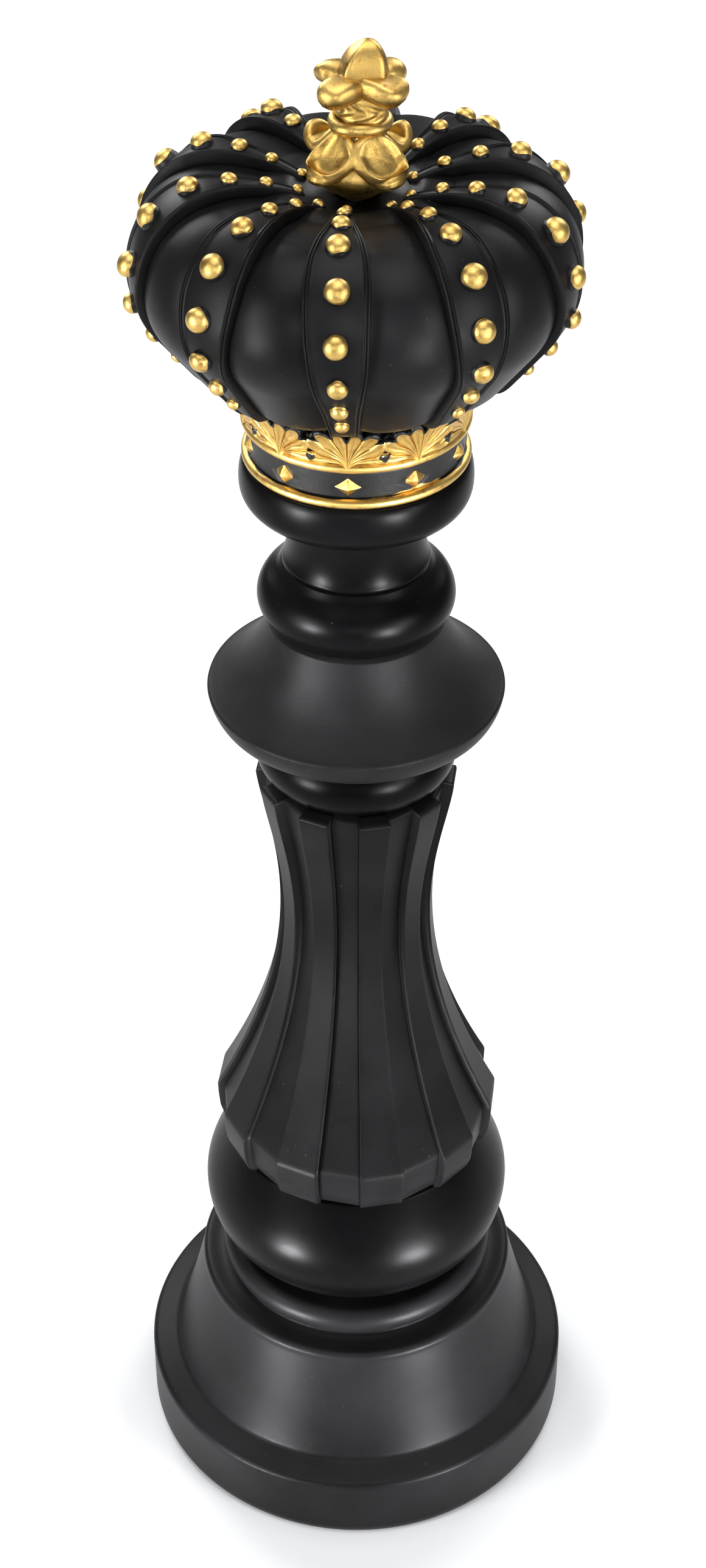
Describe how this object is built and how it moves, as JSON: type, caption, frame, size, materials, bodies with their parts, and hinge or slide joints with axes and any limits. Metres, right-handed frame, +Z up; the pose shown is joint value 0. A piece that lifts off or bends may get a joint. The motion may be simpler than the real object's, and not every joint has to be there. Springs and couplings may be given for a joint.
{
  "type": "giant chess piece",
  "caption": "Tall black chess king with a plinth foot, pleated column, turned beads and a studded, gilded crown with a finial.",
  "frame": {"origin": "centre of the flat face that the piece stands on", "axes": "+Z up along the piece's turning axis, -Y towards the front rib and leaf of the crown, +X to the right seen from the front"},
  "size_m": [0.186, 0.186, 0.6429],
  "materials": {
    "black_satin": "satin black paint on cast resin",
    "black_gloss": "rubbed black paint on cast resin",
    "gilt": "hand-laid gold leaf paint",
    "steel": "zinc plated",
    "rubber": "matte",
    "felt": "matte",
    "board": "matte",
    "ballast": "matte"
  },
  "bodies": {
    "piece": {"felt_pad": "felt", "base_board": "board", "base_screws": "steel", "ballast": "ballast", "foot_casting": "black_satin", "tie_rod": "steel", "rod_nut_lower": "steel", "rod_washer_lower": "steel", "rod_nut_upper": "steel", "rod_washer_upper": "steel", "bulb": "black_gloss", "pleated_column": "black_satin", "waist_bead": "black_gloss", "collar": "black_satin", "neck_ring": "black_gloss", "neck": "black_satin", "crown_cup": "black_gloss", "crown_band": "black_satin", "band_rim_lower": "gilt", "band_rim_upper": "gilt", "band_diamonds": "gilt", "leaf_gallery": "gilt", "crown_cap": "black_satin", "crown_rib_1": "black_satin", "crown_rib_2": "black_satin", "crown_rib_3": "black_satin", "crown_rib_4": "black_satin", "crown_rib_5": "black_satin", "crown_rib_6": "black_satin", "crown_rib_7": "black_satin", "crown_rib_8": "black_satin", "crown_rib_9": "black_satin", "crown_rib_10": "black_satin", "rib_studs_1": "gilt", "rib_studs_2": "gilt", "rib_studs_3": "gilt", "rib_studs_4": "gilt", "rib_studs_5": "gilt", "rib_studs_6": "gilt", "rib_studs_7": "gilt", "rib_studs_8": "gilt", "rib_studs_9": "gilt", "rib_studs_10": "gilt", "finial_pin": "steel", "finial_calyx": "gilt", "finial_ring": "gilt", "finial_bud": "gilt", "finial_petal_1": "gilt", "finial_petal_2": "gilt", "finial_petal_3": "gilt", "finial_petal_4": "gilt", "finial_lobe_1": "gilt", "finial_lobe_2": "gilt", "finial_lobe_3": "gilt", "finial_lobe_4": "gilt"},
    "plug": {"filler_plug": "rubber"}
  },
  "joints": [
    {"name": "plug_pull", "type": "slide", "parent": "piece", "child": "plug", "axis": [0, 0, -1], "range_m": [0, 0.012]}
  ]
}
